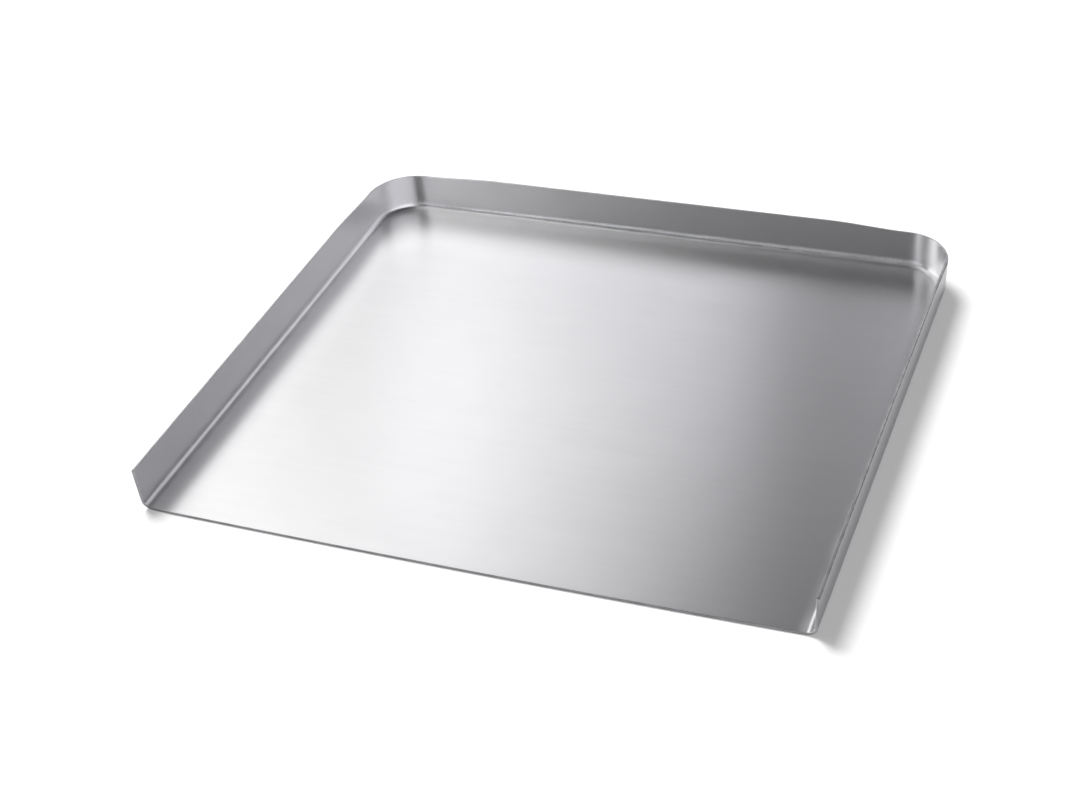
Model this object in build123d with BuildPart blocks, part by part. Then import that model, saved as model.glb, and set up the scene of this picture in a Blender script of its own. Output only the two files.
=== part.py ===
"""A cookie sheet pressed from one thick blank of bare aluminium.

The floor is flat and runs straight off the open front edge, so that biscuits slide onto a rack. A low wall
stands along the left, back and right sides, the two back corners are drawn round, and the rim is a plain
sheared edge with no bead.

Millimetres. +X runs along the open front, +Y from the front to the back wall, +Z up. The origin is on the
table under the centre of the sheet's bounding box.
"""

import os
from math import cos, radians, sin, tan

from build123d import *

os.makedirs("parts", exist_ok=True)

# Blank
inch = 25.4
sheet_thickness = 1.63  # 14 gauge
front_bow = 1.6  # the middle of the front edge stands this far forward of the wall ends

# Walls, measured over the outside of the rim
outer_width = 16 * inch
wall_length = 14 * inch
wall_height = 1.125 * inch
corner_radius = 1.25 * inch
wall_lean_angle = 2.8  # degrees, outwards

# The rim is a little lower round the drawn corners
corner_drop = 2.1
drop_run = 53  # length of straight wall over which it falls
trim_overrun = 1  # how far the trimming cuts run past the metal

# Fold between wall and floor: an arc rises from the floor to a crease, where the wall begins
inner_fold_radius = 5.8
fold_angle = 64  # degrees turned by the arc

# The fold's outside in section, as heights and as distances inwards from the rim
outer_fold_radius = inner_fold_radius + sheet_thickness
crease_height = outer_fold_radius * (1 - cos(radians(fold_angle)))
crease_inset = (wall_height - crease_height) * tan(radians(wall_lean_angle))
foot_inset = crease_inset + outer_fold_radius * sin(radians(fold_angle))

# Places in plan
half_width = outer_width / 2
back_y = (wall_length + front_bow) / 2
wall_front_y = back_y - wall_length
corner_start_x = half_width - corner_radius
corner_start_y = back_y - corner_radius
floor_half_width = half_width - foot_inset
floor_corner_radius = corner_radius - foot_inset

# The rim seen from the side
low_rim = wall_height - corner_drop
level_rim_x = corner_start_x - drop_run
level_rim_y = corner_start_y - drop_run
rim_direction = (1, 0)


with BuildPart() as cookie_sheet:
    # Walls and fold: their section is swept round the left, back and right sides
    with BuildLine() as rim_path:
        left_side = Line((-half_width, wall_front_y), (-half_width, corner_start_y))
        left_corner = JernArc(left_side @ 1, left_side % 1, corner_radius, -90)
        back_side = Line(left_corner @ 1, (corner_start_x, back_y))
        right_corner = JernArc(back_side @ 1, back_side % 1, corner_radius, -90)
        Line(right_corner @ 1, (half_width, wall_front_y))
    with BuildSketch(Plane.XZ.offset(-wall_front_y)):
        with BuildLine():
            Line((-half_width, wall_height), (-half_width + crease_inset, crease_height))
            JernArc((-half_width + foot_inset, 0), (-1, 0), outer_fold_radius, -fold_angle)
            offset(amount=sheet_thickness, side=Side.LEFT)
        make_face()
    sweep(path=rim_path.wires()[0])

    # Floor, flush with the wall ends at its front corners and bowed between them
    with BuildSketch():
        with BuildLine():
            front_edge = SagittaArc(
                (-floor_half_width, wall_front_y), (floor_half_width, wall_front_y), -front_bow
            )
            right_edge = Line(front_edge @ 1, (floor_half_width, corner_start_y))
            right_foot = JernArc(right_edge @ 1, right_edge % 1, floor_corner_radius, 90)
            back_edge = Line(right_foot @ 1, (-corner_start_x, back_y - foot_inset))
            left_foot = JernArc(back_edge @ 1, back_edge % 1, floor_corner_radius, 90)
            Line(left_foot @ 1, front_edge @ 0)
        make_face()
    extrude(amount=sheet_thickness)

    # Side rims trimmed level, falling towards the corners
    with BuildSketch(Plane.YZ):
        with BuildLine():
            Spline(
                (level_rim_y, wall_height),
                (corner_start_y, low_rim),
                tangents=(rim_direction, rim_direction),
            )
            Polyline(
                (corner_start_y, low_rim),
                (corner_start_y, wall_height + trim_overrun),
                (wall_front_y - trim_overrun, wall_height + trim_overrun),
                (wall_front_y - trim_overrun, wall_height),
                (level_rim_y, wall_height),
            )
        make_face()
    extrude(amount=half_width + trim_overrun, both=True, mode=Mode.SUBTRACT)

    # Back rim and both corners trimmed in the same way
    with BuildSketch(Plane.XZ.offset(-corner_start_y)):
        with BuildLine():
            Spline(
                (level_rim_x, wall_height),
                (corner_start_x, low_rim),
                tangents=(rim_direction, rim_direction),
            )
            Polyline(
                (corner_start_x, low_rim),
                (half_width + trim_overrun, low_rim),
                (half_width + trim_overrun, wall_height + trim_overrun),
                (0, wall_height + trim_overrun),
                (0, wall_height),
                (level_rim_x, wall_height),
            )
        make_face()
        mirror(about=Plane.YZ)
    extrude(amount=-(corner_radius + trim_overrun), mode=Mode.SUBTRACT)

cookie_sheet.part.label = "cookie_sheet"
export_step(cookie_sheet.part, "parts/cookie_sheet.step")
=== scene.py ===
"""Looks of a cookie sheet pressed from one thick blank of bare satin aluminium.

Metres, in the frame of the model: +X along the open front edge, +Y to the back wall, +Z up. The table is
at z = 0. Headings run clockwise from +Y, seen from above.
"""

from math import cos, pi, radians, sin, tan

import bpy
from mathutils import Matrix, Quaternion, Vector, noise


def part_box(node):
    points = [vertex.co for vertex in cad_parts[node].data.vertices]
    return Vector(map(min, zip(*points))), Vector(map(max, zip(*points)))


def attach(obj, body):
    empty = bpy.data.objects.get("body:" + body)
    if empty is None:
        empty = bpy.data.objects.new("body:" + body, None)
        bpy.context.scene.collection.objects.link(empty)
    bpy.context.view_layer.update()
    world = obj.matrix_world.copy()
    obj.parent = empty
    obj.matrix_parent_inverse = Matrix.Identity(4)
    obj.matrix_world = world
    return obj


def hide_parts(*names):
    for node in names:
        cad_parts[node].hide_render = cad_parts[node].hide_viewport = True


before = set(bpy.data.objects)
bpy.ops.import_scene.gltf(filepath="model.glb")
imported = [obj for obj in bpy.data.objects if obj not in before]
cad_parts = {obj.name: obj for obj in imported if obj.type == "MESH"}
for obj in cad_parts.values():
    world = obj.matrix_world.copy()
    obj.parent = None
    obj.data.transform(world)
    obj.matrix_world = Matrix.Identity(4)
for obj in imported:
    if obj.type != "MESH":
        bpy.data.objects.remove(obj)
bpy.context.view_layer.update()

# Sizes taken from the frame
sheet_low, sheet_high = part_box("cookie_sheet")
half_width = sheet_high.x
back_y = sheet_high.y
wall_height = sheet_high.z

# Sizes of the pressed sheet
sheet_thickness = 0.00163
front_bow = 0.0016
corner_radius = 0.03175
wall_lean = radians(2.8)
inner_fold_radius = 0.0058
outer_fold_radius = inner_fold_radius + sheet_thickness
fold_angle = radians(64)
corner_drop = 0.0021
drop_run = 0.053
right_end_sag = 0.0013  # the right wall is this much lower at its front end
sag_run = 0.09  # length of wall over which it falls

# Places worked out from them
wall_front_y = sheet_low.y + front_bow
corner_start_x = half_width - corner_radius
corner_start_y = back_y - corner_radius
crease_height = outer_fold_radius * (1 - cos(fold_angle))
crease_inset = (wall_height - crease_height) * tan(wall_lean)
foot_inset = crease_inset + outer_fold_radius * sin(fold_angle)

# Finish of the metal's edges and bends
edge_round = 0.0003
end_corner_share = 1.5  # of the other edges' rounding
sharp_turn = radians(50)  # two cut faces that meet at more than this make such a corner
drawn_down_height = 0.001  # the shear drew the rim's outer edge inwards over this height
drawn_down_share = 0.3  # of the thickness
side_crease_blend = 0.0004
back_crease_blend = 0.0021

# Unevenness left by the pressing: how far the metal stands off its ideal form, and over what length
wall_dent, wall_wave = 0.00008, 0.035
fold_dent, fold_wave = 0.00016, 0.011
floor_dent, floor_wave = 0.00004, 0.06
fold_reach = 0.003

# Materials of the sheet beside the satin metal, in the order of its slots
cut_slot = 1
crease_slot = 2
drawn_slot = 3

# Colour sockets of a Mix node
mix_first = 6
mix_second = 7
mix_result = 2

# Studio
lamp_distance = 1.6
neutral = (0.999, 1.002, 0.996)
cool = (0.990, 0.984, 1.026)

# Fineness of the mesh
side_steps = 80
corner_steps = 26
back_steps = 84
wall_rows = 10
blend_rows = 4
fold_rows = 14
margin_rings = 8


def smooth_step(share):
    """0 to 1 with a level start and end."""
    share = min(max(share, 0), 1)
    return share * share * (3 - 2 * share)


def half_rim():
    """Plan points of the outer rim with the inward direction, from the left front end to mid-back."""
    points = []
    for i in range(side_steps):
        y = wall_front_y + (corner_start_y - wall_front_y) * i / side_steps
        points.append((Vector((-half_width, y)), Vector((1, 0))))
    for i in range(corner_steps):
        turn = radians(90) * i / corner_steps
        inward = Vector((cos(turn), -sin(turn)))
        points.append((Vector((-corner_start_x, corner_start_y)) - corner_radius * inward, inward))
    for i in range(back_steps // 2 + 1):
        x = -corner_start_x * (1 - 2 * i / back_steps)
        points.append((Vector((x, back_y)), Vector((0, -1))))
    return points


def rim_stations():
    """The whole rim from the left front end round to the right one."""
    left = half_rim()
    flip = Matrix(((-1, 0), (0, 1)))
    right = [(flip @ point, flip @ inward) for point, inward in left[:-1]]
    return left + right[::-1]


def rim_height(point):
    """The rim falls a little towards the drawn corners and at the front end of the right wall."""
    along_side = (point.y - corner_start_y + drop_run) / drop_run
    along_back = (abs(point.x) - corner_start_x + drop_run) / drop_run
    towards_end = (wall_front_y + sag_run - point.y) / sag_run
    if point.y < corner_start_y:
        sag = right_end_sag * smooth_step(towards_end) if point.x > 0 else 0
        return wall_height - corner_drop * smooth_step(along_side) - sag
    if abs(point.x) < corner_start_x:
        return wall_height - corner_drop * smooth_step(along_back)
    return wall_height - corner_drop


def fold_point(angle):
    """Inset from the rim and height of the fold's inner face, the given angle up from the floor."""
    return Vector(
        (foot_inset - inner_fold_radius * sin(angle), outer_fold_radius - inner_fold_radius * cos(angle))
    )


def wall_inset(height):
    """Inset of the leaning wall's inner face."""
    return (wall_height - height) * tan(wall_lean) + sheet_thickness / cos(wall_lean)


def inner_crease_angle():
    """Where the fold's inner face runs into the wall's."""
    low = radians(30)
    high = fold_angle
    halvings = 30
    for _ in range(halvings):
        middle = (low + high) / 2
        point = fold_point(middle)
        if point.x > wall_inset(point.y):
            low = middle
        else:
            high = middle
    return low


def crease_blend(inward):
    """The crease is crisp along the sides and softer along the back."""
    return side_crease_blend + (back_crease_blend - side_crease_blend) * inward.y**2


def section(top, blend):
    """Inner face of wall and fold, from the rim at the given height down to the edge of the floor."""
    crease_angle = inner_crease_angle()
    blend_angle = crease_angle - blend / inner_fold_radius
    crease = fold_point(crease_angle)
    blend_top = crease.y + blend
    rows = []
    rows.append(Vector((wall_inset(top), top)))
    for i in range(wall_rows):
        height = blend_top + (top - drawn_down_height - blend_top) * (1 - i / wall_rows)
        rows.append(Vector((wall_inset(height), height)))
    above = Vector((wall_inset(blend_top), blend_top))
    below = fold_point(blend_angle)
    for i in range(blend_rows):
        share = i / blend_rows
        rows.append(above.lerp(crease, share).lerp(crease.lerp(below, share), share))
    for i in range(fold_rows + 1):
        rows.append(fold_point(blend_angle * (1 - i / fold_rows)))
    return rows


class Grid:
    """Points of the sheet's inner face.

    Each has its place in the flat blank that the sheet was pressed from, and its share of the fold's wear and
    dents.
    """

    def __init__(self):
        self.points = []
        self.blank = []
        self.folded = []

    def add(self, x, y, z, folded=0, blank=None):
        self.points.append(Vector((x, y, z)))
        self.blank.append(blank or Vector((x, y)))
        self.folded.append(folded)
        return len(self.points) - 1


def lengths_up(rows):
    """Length of metal from the foot of the fold up to each row of a section."""
    lengths = [0]
    for lower, upper in zip(rows[::-1], rows[-2::-1]):
        lengths.append(lengths[-1] + (upper - lower).length)
    return lengths[::-1]


def wall_rings(grid, stations):
    """Rings of points from the rim down over wall and fold."""
    sections = [section(rim_height(plan), crease_blend(inward)) for plan, inward in stations]
    lengths = [lengths_up(rows) for rows in sections]
    rings = []
    for row in range(len(sections[0])):
        ring = []
        for (plan, inward), rows, length in zip(stations, sections, lengths):
            inset, height = rows[row]
            place = plan + inward * inset
            blank = plan + inward * (foot_inset - length[row])
            above_fold = (height - crease_height) / fold_reach
            ring.append(grid.add(place.x, place.y, height, 1 - smooth_step(above_fold), blank))
        rings.append(ring)
    return rings


def margin_ring(grid, stations, row):
    """One ring of the flat margin inside the fold. The last one has its corner arcs drawn into points."""
    width = (corner_radius - foot_inset) * row / margin_rings
    folded = 1 - smooth_step(width / fold_reach)
    ring = []
    for i, (plan, inward) in enumerate(stations):
        place = plan + inward * (foot_inset + width)
        in_corner = abs(plan.x) > corner_start_x and plan.y > corner_start_y
        if row == margin_rings and in_corner and abs(inward.x) < 1:
            ring.append(ring[-1])
        else:
            ring.append(grid.add(place.x, place.y, sheet_thickness, folded))
    return ring


def middle_rows(grid, margin):
    """Rows across the floor inside the margin, from the front edge to the back."""
    left = margin[: side_steps + 1]
    right = margin[::-1][: side_steps + 1]
    back = margin[side_steps + corner_steps : side_steps + corner_steps + back_steps + 1]
    back[0], back[-1] = left[-1], right[-1]
    rows = []
    for near_left, near_right in zip(left[:-1], right[:-1]):
        y = grid.points[near_left].y
        across = [grid.add(grid.points[point].x, y, sheet_thickness) for point in back[1:-1]]
        rows.append([near_left, *across, near_right])
    return rows + [back]


def bow_front(point):
    """The front edge curves forwards between the walls, and the floor behind it stretches to follow."""
    across = min(abs(point.x) / (half_width - foot_inset), 1)
    forwards = (corner_start_y - point.y) / (corner_start_y - wall_front_y)
    point.y -= front_bow * (1 - across**2) * smooth_step(forwards)


def dent(point, normal, folded):
    """How far a point of the inner face stands proud of the ideal form."""
    upright = 1 - abs(normal.z)
    size = floor_dent + (wall_dent - floor_dent) * upright
    wave = floor_wave + (wall_wave - floor_wave) * upright
    broad = size * (1 + noise.noise(point / wave))
    return broad + folded * fold_dent * (1 + noise.noise(point / fold_wave))


def inner_face():
    """The grid of the sheet's inner face, its faces, and the points along its cut edges."""
    stations = rim_stations()
    grid = Grid()
    rings = wall_rings(grid, stations)
    rings += [margin_ring(grid, stations, row) for row in range(1, margin_rings + 1)]
    faces = []
    for upper, lower in zip(rings, rings[1:]):
        for i in range(len(stations) - 1):
            corners = (upper[i], lower[i], lower[i + 1], upper[i + 1])
            faces.append(list(dict.fromkeys(corners)))
    rows = middle_rows(grid, rings[-1])
    for near, far in zip(rows, rows[1:]):
        for i in range(back_steps):
            faces.append([near[i], near[i + 1], far[i + 1], far[i]])
    for point in grid.points:
        bow_front(point)
    ends = [ring[0] for ring in rings] + [ring[-1] for ring in rings]
    return grid, faces, set(rings[0] + rows[0] + ends)


def sheet_mesh():
    """The sheet's inner face as a mesh, with its dents, its wear and the direction of its grain."""
    grid, faces, rim = inner_face()
    mesh = bpy.data.meshes.new("pressed_sheet")
    mesh.from_pydata([tuple(point) for point in grid.points], [], faces)
    normals = [vertex.normal.copy() for vertex in mesh.vertices]
    for vertex, normal, folded in zip(mesh.vertices, normals, grid.folded):
        vertex.co += normal * dent(vertex.co, normal, folded)
    fold_share = mesh.attributes.new("fold_share", "FLOAT", "POINT")
    fold_share.data.foreach_set("value", grid.folded)
    rim_share = mesh.attributes.new("rim_share", "FLOAT", "POINT")
    rim_share.data.foreach_set("value", [float(i in rim) for i in range(len(grid.points))])
    rolling = mesh.uv_layers.new(name="rolling")
    for loop, corner in zip(mesh.loops, rolling.data):
        blank = grid.blank[loop.vertex_index]
        corner.uv = (blank.y, -blank.x)
    mesh.validate()
    mesh.shade_smooth()
    return mesh


def thickened(sheet):
    """The sheet's inner face thickened outwards, as a mesh whose cut faces have their own material."""
    thicken = sheet.modifiers.new("thickness", "SOLIDIFY")
    thicken.thickness = sheet_thickness
    thicken.offset = -1
    thicken.use_even_offset = True
    thicken.material_offset_rim = cut_slot
    bpy.context.view_layer.update()
    graph = bpy.context.evaluated_depsgraph_get()
    solid = sheet.evaluated_get(graph)
    mesh = bpy.data.meshes.new_from_object(solid, preserve_all_data_layers=True, depsgraph=graph)
    sheet.modifiers.remove(thicken)
    return mesh


def finish_outside(mesh, inner_count, rim_points):
    """Marks the outer side, and pulls the rim's outer edge in, where the shear drew the metal down."""
    outer_first = abs(mesh.vertices[0].co.x) > abs(mesh.vertices[inner_count].co.x)
    for i in range(rim_points):
        pair = mesh.vertices[i], mesh.vertices[i + inner_count]
        outer, inner = pair if outer_first else pair[::-1]
        outer.co = outer.co.lerp(inner.co, drawn_down_share)
    outside = [float((i < inner_count) == outer_first) for i in range(len(mesh.vertices))]
    outside_share = mesh.attributes.new("outside_share", "FLOAT", "POINT")
    outside_share.data.foreach_set("value", outside)
    return outer_first


def mark_strips(mesh, inner_faces, across, outer_first):
    """Gives the crease and the rim's drawn-down outer edge their own materials."""
    crease_rows = range(wall_rows + 1, wall_rows + 1 + blend_rows)
    for side in (0, inner_faces):
        for row in crease_rows:
            for i in range(across):
                mesh.polygons[side + row * across + i].material_index = crease_slot
    side = 0 if outer_first else inner_faces
    for i in range(across):
        mesh.polygons[side + i].material_index = drawn_slot


def edge_weights(mesh):
    """How far each edge is rounded: the cut edges, and more at the corners where two cut faces meet."""
    beside = {}
    for face in mesh.polygons:
        for key in face.edge_keys:
            beside.setdefault(key, []).append(face)
    weights = []
    for edge in mesh.edges:
        first, second = beside[edge.key]
        if first.material_index != second.material_index:
            weights.append(1 / end_corner_share)
        elif first.material_index == cut_slot and first.normal.angle(second.normal) > sharp_turn:
            weights.append(1)
        else:
            weights.append(0)
    return weights


def pressed_sheet(materials):
    """The whole sheet, with its sheared edges rounded."""
    inner = sheet_mesh()
    for material in materials:
        inner.materials.append(material)
    sheet = bpy.data.objects.new("pressed_sheet", inner)
    bpy.context.scene.collection.objects.link(sheet)
    mesh = thickened(sheet)
    across = len(rim_stations())
    outer_first = finish_outside(mesh, len(inner.vertices), across)
    weights = edge_weights(mesh)
    mark_strips(mesh, len(inner.polygons), across - 1, outer_first)
    rounding_weight = mesh.attributes.new("bevel_weight_edge", "FLOAT", "EDGE")
    rounding_weight.data.foreach_set("value", weights)
    sheet.data = mesh
    rounding = sheet.modifiers.new("rounded edges", "BEVEL")
    rounding.width = edge_round * end_corner_share
    rounding.segments = 3
    rounding.limit_method = "WEIGHT"
    rounding.use_clamp_overlap = False
    normals = sheet.modifiers.new("flat faces", "WEIGHTED_NORMAL")
    normals.weight = 60
    return sheet


def bare_metal(name):
    """A metal material with its node tree and shader."""
    material = bpy.data.materials.new(name)
    material.use_nodes = True
    shader = material.node_tree.nodes["Principled BSDF"]
    shader.inputs["Metallic"].default_value = 1
    return material, material.node_tree, shader


def calculate(tree, operation, first, second):
    """The result of an operation on two values, of which the second may be a number."""
    node = tree.nodes.new("ShaderNodeMath")
    node.operation = operation
    tree.links.new(first, node.inputs[0])
    if isinstance(second, (int, float)):
        node.inputs[1].default_value = second
    else:
        tree.links.new(second, node.inputs[1])
    return node.outputs[0]


def in_range(tree, value, from_low, from_high, to_low, to_high):
    """A value brought from one range to another and held there."""
    node = tree.nodes.new("ShaderNodeMapRange")
    node.inputs["From Min"].default_value = from_low
    node.inputs["From Max"].default_value = from_high
    node.inputs["To Min"].default_value = to_low
    node.inputs["To Max"].default_value = to_high
    tree.links.new(value, node.inputs["Value"])
    return node.outputs["Result"]


def contrast(tree, value, low, high):
    """A value stretched to run from 0, where it is low, to 1, where it is high."""
    return in_range(tree, value, low, high, 0, 1)


def rolled_noise(tree, across, along, turn=0, detail=3):
    """Noise in the flat blank, with spots of the given sizes across and along the grain."""
    place = tree.nodes.new("ShaderNodeUVMap")
    place.uv_map = "rolling"
    rotate = tree.nodes.new("ShaderNodeMapping")
    rotate.inputs["Rotation"].default_value = (0, 0, radians(turn))
    tree.links.new(place.outputs["UV"], rotate.inputs["Vector"])
    stretch = tree.nodes.new("ShaderNodeMapping")
    stretch.inputs["Scale"].default_value = (1 / across, 1 / along, 1)
    tree.links.new(rotate.outputs["Vector"], stretch.inputs["Vector"])
    texture = tree.nodes.new("ShaderNodeTexNoise")
    texture.inputs["Scale"].default_value = 1
    texture.inputs["Detail"].default_value = detail
    tree.links.new(stretch.outputs["Vector"], texture.inputs["Vector"])
    return texture.outputs["Fac"]


def cloud_noise(tree, size, detail=3):
    """Noise in space, with spots of the given size."""
    place = tree.nodes.new("ShaderNodeTexCoord")
    texture = tree.nodes.new("ShaderNodeTexNoise")
    texture.inputs["Scale"].default_value = 1 / size
    texture.inputs["Detail"].default_value = detail
    tree.links.new(place.outputs["Object"], texture.inputs["Vector"])
    return texture.outputs["Fac"]


def share(tree, name):
    """A share between 0 and 1 that the mesh carries at its points."""
    node = tree.nodes.new("ShaderNodeAttribute")
    node.attribute_name = name
    return node.outputs["Fac"]


def shade_between(tree, amount, dark, light):
    """A colour between two."""
    node = tree.nodes.new("ShaderNodeMix")
    node.data_type = "RGBA"
    tree.links.new(amount, node.inputs["Factor"])
    node.inputs[mix_first].default_value = (*dark, 1)
    node.inputs[mix_second].default_value = (*light, 1)
    return node.outputs[mix_result]


def relief(tree, shader, height, depth):
    """Bumps of the given depth in metres."""
    bump = tree.nodes.new("ShaderNodeBump")
    bump.inputs["Strength"].default_value = 1
    bump.inputs["Distance"].default_value = depth
    tree.links.new(height, bump.inputs["Height"])
    tree.links.new(bump.outputs["Normal"], shader.inputs["Normal"])


def hairlines(tree):
    """Sparse fine scratches, from trays that were stacked and wiped: 1 in a scratch and 0 beside it."""
    first = rolled_noise(tree, across=0.00022, along=0.05, turn=23, detail=1)
    second = rolled_noise(tree, across=0.00018, along=0.03, turn=-48, detail=1)
    lines = calculate(tree, "MAXIMUM", first, second)
    where = contrast(tree, cloud_noise(tree, size=0.03, detail=2), low=0.5, high=0.62)
    return calculate(tree, "MULTIPLY", contrast(tree, lines, low=0.74, high=0.78), where)


def rubbed_metal(tree):
    """Share of bright rubbed metal: specks along the fold and patches along the rim."""
    most_in_specks = 0.7
    least_in_patches = 0.2
    specks = in_range(tree, cloud_noise(tree, size=0.0022, detail=2), 0.42, 0.66, 0, most_in_specks)
    patches = in_range(tree, cloud_noise(tree, size=0.005), 0.4, 0.6, least_in_patches, 1)
    fold = calculate(tree, "MULTIPLY", specks, share(tree, "fold_share"))
    rim = calculate(tree, "MULTIPLY", patches, share(tree, "rim_share"))
    return calculate(tree, "MAXIMUM", fold, rim)


def painted_darker(tree, colour, where, tint):
    """The colour multiplied by a tint where a share is 1, to paint shade over it."""
    node = tree.nodes.new("ShaderNodeMix")
    node.data_type = "RGBA"
    node.blend_type = "MULTIPLY"
    tree.links.new(where, node.inputs["Factor"])
    tree.links.new(colour, node.inputs[mix_first])
    node.inputs[mix_second].default_value = (*tint, 1)
    return node.outputs[mix_result]


def painted_shade_outside(tree, colour):
    """The colour on the inside, and a darker one outside: painted shade for the shadowed floor and dark room
    that the outer walls reflect.
    """
    # painted shade: every outer face is darkened for the dark surroundings it reflects
    outside_shade_tint = (0.50, 0.50, 0.51)
    return painted_darker(tree, colour, share(tree, "outside_share"), outside_shade_tint)


def front_share(tree):
    """1 on the cut faces of the open front and 0 behind them."""
    place = tree.nodes.new("ShaderNodeTexCoord")
    split = tree.nodes.new("ShaderNodeSeparateXYZ")
    tree.links.new(place.outputs["Object"], split.inputs[0])
    full = wall_front_y + edge_round
    none = full + 2 * edge_round
    return in_range(tree, split.outputs["Y"], full, none, 1, 0)


def satin_aluminium():
    """Bare rolled aluminium, whose fine grain runs along X in the flat blank."""
    darker, brighter = (0.794, 0.791, 0.800), (0.819, 0.816, 0.822)
    rougher, smoother = 0.317, 0.303
    grain_roughness, scratch_roughness, rubbed_roughness = 0.012, 0.07, 0.02  # what each adds
    streak_share, cloud_share = 0.6, 0.4  # of the unevenness
    scratch_depth = 1.5  # of the grain's
    grain_depth = 0.000002

    material, tree, shader = bare_metal("satin_aluminium")
    grain = rolled_noise(tree, across=0.0004, along=0.012)
    streaks = rolled_noise(tree, across=0.0035, along=0.11)
    clouds = cloud_noise(tree, size=0.028)
    scratches = hairlines(tree)
    rubbed = rubbed_metal(tree)

    streaks = calculate(tree, "MULTIPLY", streaks, streak_share)
    clouds = calculate(tree, "MULTIPLY", clouds, cloud_share)
    uneven = contrast(tree, calculate(tree, "ADD", streaks, clouds), low=0.3, high=0.7)
    colour = shade_between(tree, calculate(tree, "MAXIMUM", uneven, rubbed), darker, brighter)
    tree.links.new(painted_shade_outside(tree, colour), shader.inputs["Base Color"])

    grain_change = in_range(tree, grain, 0.3, 0.7, -grain_roughness, grain_roughness)
    scratch_change = calculate(tree, "MULTIPLY", scratches, scratch_roughness)
    rubbed_change = calculate(tree, "MULTIPLY", rubbed, rubbed_roughness)
    roughness = in_range(tree, uneven, 0, 1, rougher, smoother)
    for change in (grain_change, scratch_change, rubbed_change):
        roughness = calculate(tree, "ADD", roughness, change)
    tree.links.new(roughness, shader.inputs["Roughness"])

    height = calculate(tree, "SUBTRACT", grain, calculate(tree, "MULTIPLY", scratches, scratch_depth))
    relief(tree, shader, height, grain_depth)

    shader.inputs["Anisotropic"].default_value = 0.8
    across_grain = tree.nodes.new("ShaderNodeTangent")
    across_grain.direction_type = "UV_MAP"
    across_grain.uv_map = "rolling"
    tree.links.new(across_grain.outputs["Tangent"], shader.inputs["Tangent"])
    return material


def pressed_crease():
    """The line where the press bent the wall up and rubbed the grain away, uneven along its length. Its metal
    is lighter than the satin face, partly rubbed metal and partly a painted highlight along the crease.
    """
    # lighter than the satin metal: partly rubbed metal, partly a painted highlight
    darker, brighter = (0.84, 0.84, 0.85), (0.91, 0.91, 0.92)
    rougher, smoother = 0.36, 0.28
    mark_depth = 0.00008

    material, tree, shader = bare_metal("pressed_crease")
    marks = cloud_noise(tree, size=0.0016, detail=2)
    broad = cloud_noise(tree, size=0.009)
    colour = shade_between(tree, contrast(tree, marks, low=0.35, high=0.65), darker, brighter)
    tree.links.new(painted_shade_outside(tree, colour), shader.inputs["Base Color"])
    tree.links.new(in_range(tree, broad, 0.35, 0.65, rougher, smoother), shader.inputs["Roughness"])
    relief(tree, shader, marks, mark_depth)
    return material


def drawn_edge():
    """The narrow band below the rim that the shear drew down, painted dark as shade for the dark room it
    reflects, and mottled unevenly.
    """
    # painted shade: near black, where the band reflects the dark room
    darker, brighter = (0.10, 0.10, 0.10), (0.22, 0.22, 0.22)
    rougher, smoother = 0.5, 0.38
    band_mottle_depth = 0.00004

    material, tree, shader = bare_metal("drawn_edge")
    band_mottle = cloud_noise(tree, size=0.004)
    colour = shade_between(tree, contrast(tree, band_mottle, low=0.35, high=0.65), darker, brighter)
    tree.links.new(colour, shader.inputs["Base Color"])
    tree.links.new(in_range(tree, band_mottle, 0.3, 0.7, rougher, smoother), shader.inputs["Roughness"])
    relief(tree, shader, band_mottle, band_mottle_depth)
    return material


def sheared_edge():
    """The cut faces of the sheet, with fine lines from the shear and rubbed in places. Their metal is darker
    than the satin face, partly from the shear and partly as painted shade for the bright floor they reflect,
    and darker still along the open front as painted shade.
    """
    # darker than the satin metal: partly the shear, partly painted shade for the bright floor these faces
    # reflect
    darker, brighter = (0.42, 0.42, 0.43), (0.62, 0.62, 0.63)
    # painted shade along the open front, standing in for the shadowed floor in front that these faces reflect
    front_shade_tint = (0.48, 0.48, 0.49)
    rougher, smoother = 0.46, 0.28
    line_depth = 0.000015

    material, tree, shader = bare_metal("sheared_edge")
    lines = rolled_noise(tree, across=0.0003, along=0.0003, detail=2)
    rubbed = contrast(tree, rolled_noise(tree, across=0.012, along=0.012), low=0.4, high=0.6)
    half_lines = calculate(tree, "MULTIPLY", lines, 0.5)
    half_rubbed = calculate(tree, "MULTIPLY", rubbed, 0.5)
    tone = calculate(tree, "ADD", half_lines, half_rubbed)
    colour = painted_darker(tree, shade_between(tree, tone, darker, brighter), front_share(tree), front_shade_tint)
    tree.links.new(colour, shader.inputs["Base Color"])
    tree.links.new(in_range(tree, tone, 0, 1, rougher, smoother), shader.inputs["Roughness"])
    relief(tree, shader, lines, line_depth)
    return material


def pale_table():
    """Matt pale grey that glows enough to show white to the eye and in the metal, and keeps the shadow."""
    table_tone = 0.36
    table_glow = 0.27
    material = bpy.data.materials.new("pale_floor")
    material.use_nodes = True
    tree = material.node_tree
    shader = tree.nodes["Principled BSDF"]
    shader.inputs["Base Color"].default_value = (table_tone, table_tone, table_tone, 1)
    shader.inputs["Roughness"].default_value = 1
    shader.inputs["Specular IOR Level"].default_value = 0
    path = tree.nodes.new("ShaderNodeLightPath")
    seen = path.outputs["Is Camera Ray"]
    for ray in ("Is Glossy Ray", "Is Transmission Ray"):
        seen = calculate(tree, "ADD", seen, path.outputs[ray])
    shader.inputs["Emission Color"].default_value = (1, 1, 1, 1)
    tree.links.new(calculate(tree, "MULTIPLY", seen, table_glow), shader.inputs["Emission Strength"])
    return material


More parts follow.
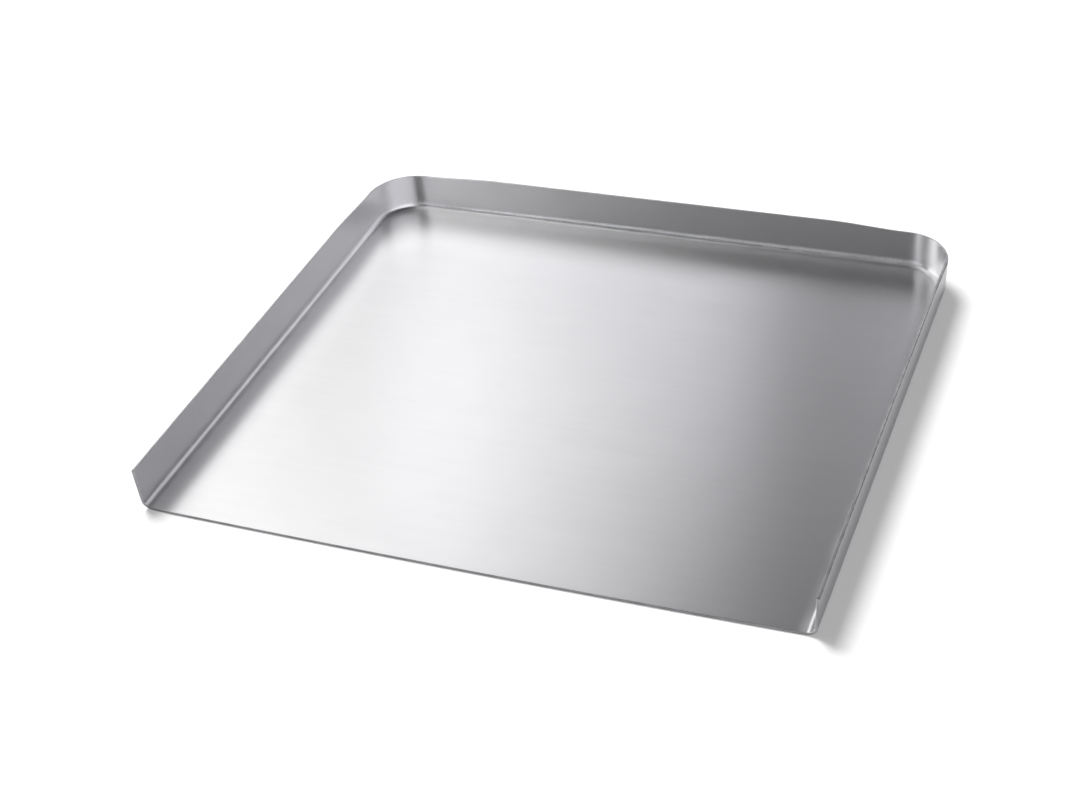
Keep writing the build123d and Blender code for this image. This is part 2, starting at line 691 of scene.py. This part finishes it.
def white_floor():
    """The wide table under the sheet."""
    mesh = bpy.data.meshes.new("floor")
    reach = 12
    corners = [(-reach, -reach, 0), (reach, -reach, 0), (reach, reach, 0), (-reach, reach, 0)]
    mesh.from_pydata(corners, [], [(0, 1, 2, 3)])
    mesh.materials.append(pale_table())
    floor = bpy.data.objects.new("floor", mesh)
    bpy.context.scene.collection.objects.link(floor)
    return floor


def direction(heading, elevation):
    """Unit vector towards a heading and an elevation."""
    heading, elevation = radians(heading), radians(elevation)
    return Vector((sin(heading) * cos(elevation), cos(heading) * cos(elevation), sin(elevation)))


def soft_edge(tree, across, softness):
    """1 over the middle of a lamp's face, falling smoothly to 0 at its two edges."""
    middle = 0.5
    offset = calculate(tree, "SUBTRACT", across, middle)
    falloff = tree.nodes.new("ShaderNodeMapRange")
    falloff.interpolation_type = "SMOOTHSTEP"
    falloff.inputs["From Min"].default_value = middle
    falloff.inputs["From Max"].default_value = middle * (1 - softness)
    tree.links.new(calculate(tree, "ABSOLUTE", offset, 0), falloff.inputs["Value"])
    return falloff.outputs["Result"]


def soft_face(lamp, softness):
    """Dims a lamp's face towards all four edges."""
    lamp.use_nodes = True
    tree = lamp.node_tree
    place = tree.nodes.new("ShaderNodeNewGeometry")
    split = tree.nodes.new("ShaderNodeSeparateXYZ")
    tree.links.new(place.outputs["Parametric"], split.inputs[0])
    sideways = soft_edge(tree, split.outputs["X"], softness)
    upwards = soft_edge(tree, split.outputs["Y"], softness)
    level = calculate(tree, "MULTIPLY", sideways, upwards)
    tree.links.new(level, tree.nodes["Emission"].inputs["Strength"])


def softbox(name, heading, elevation, half_wide, half_high, softness, radiance, tint):
    """A rectangular lamp facing the sheet, placed by the angles in degrees that it fills."""
    width = 2 * lamp_distance * tan(radians(half_wide))
    height = 2 * lamp_distance * tan(radians(half_high))
    lamp = bpy.data.lights.new(name, "AREA")
    lamp.shape = "RECTANGLE"
    lamp.size, lamp.size_y = width, height
    lamp.energy = radiance * width * height * pi
    lamp.color = tint
    soft_face(lamp, softness)
    lamp_object = bpy.data.objects.new(name, lamp)
    away = direction(heading, elevation)
    lamp_object.location = away * lamp_distance
    lamp_object.rotation_mode = "QUATERNION"
    lamp_object.rotation_quaternion = away.to_track_quat("Z", "Y")
    lamp_object.visible_camera = False
    bpy.context.scene.collection.objects.link(lamp_object)


def shadow_light(floor):
    """A broad sun on the floor alone, which throws the sheet's soft shadow forwards and to the right."""
    sun = bpy.data.lights.new("shadow_light", "SUN")
    sun.energy = 7.6
    sun.angle = radians(28)
    lamp = bpy.data.objects.new("shadow_light", sun)
    lamp.rotation_mode = "QUATERNION"
    lamp.rotation_quaternion = direction(heading=308, elevation=54).to_track_quat("Z", "Y")
    bpy.context.scene.collection.objects.link(lamp)
    receivers = bpy.data.collections.new("lit_by_shadow_light")
    receivers.objects.link(floor)
    lamp.light_linking.receiver_collection = receivers


def studio_world():
    """The dim room around the lamps."""
    room_tone = (0.009, 0.010, 0.012)
    world = bpy.data.worlds.new("studio")
    bpy.context.scene.world = world
    world.use_nodes = True
    background = world.node_tree.nodes["Background"]
    background.inputs["Color"].default_value = (*room_tone, 1)


def add_camera():
    """The photograph's view of the sheet."""
    azimuth = radians(24.77)  # to the right of the front
    elevation = radians(36.37)
    roll = radians(-6.38)
    distance = 1.1579
    aim = Vector((-0.0102, -0.0245, 0))
    back = Vector((sin(azimuth) * cos(elevation), -cos(azimuth) * cos(elevation), sin(elevation)))
    data = bpy.data.cameras.new("camera")
    data.sensor_width = 36
    data.lens = 63.17
    camera = bpy.data.objects.new("camera", data)
    camera.rotation_mode = "QUATERNION"
    camera.location = aim + back * distance
    camera.rotation_quaternion = Quaternion(back, roll) @ back.to_track_quat("Z", "Y")
    bpy.context.scene.collection.objects.link(camera)
    bpy.context.scene.camera = camera


sheet = pressed_sheet([satin_aluminium(), sheared_edge(), pressed_crease(), drawn_edge()])
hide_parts("cookie_sheet")
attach(sheet, "root")

shadow_light(white_floor())
studio_world()
# Each with its heading, elevation, half width, half height, softness of its edges, radiance and tint
softbox("left_softbox", 294.9, 43.2, 34.1, 21.0, 0.30, 1.10, neutral)
softbox("low_left_softbox", 266.8, 14.5, 18.7, 15.5, 0.34, 1.56, neutral)
softbox("left_strip", 280.0, 31.2, 10.9, 3.5, 0.35, 1.15, neutral)
softbox("back_left_panel", 337.2, 33.4, 11.7, 11.9, 0.38, 1.18, cool)
softbox("back_right_softbox", 21.2, 31.4, 38.1, 24.4, 0.97, 1.31, cool)
softbox("right_softbox", 128.2, 20.5, 44.5, 32.8, 0.30, 1.14, cool)
softbox("low_front_panel", 193.9, 12.4, 17.6, 11.0, 0.83, 0.60, cool)
softbox("front_strip", 217, 17, 5.5, 13, 0.5, 1.1, cool)
softbox("low_front_strip", 213, 7, 7, 6, 0.5, 3.2, cool)
softbox("front_left_panel", 228.6, 48.7, 11.0, 15.1, 0.34, 1.60, neutral)
softbox("overhead_strip", 239.5, 72.0, 55.9, 4.3, 0.30, 0.92, neutral)
add_camera()
bpy.context.scene.view_settings.view_transform = "Standard"
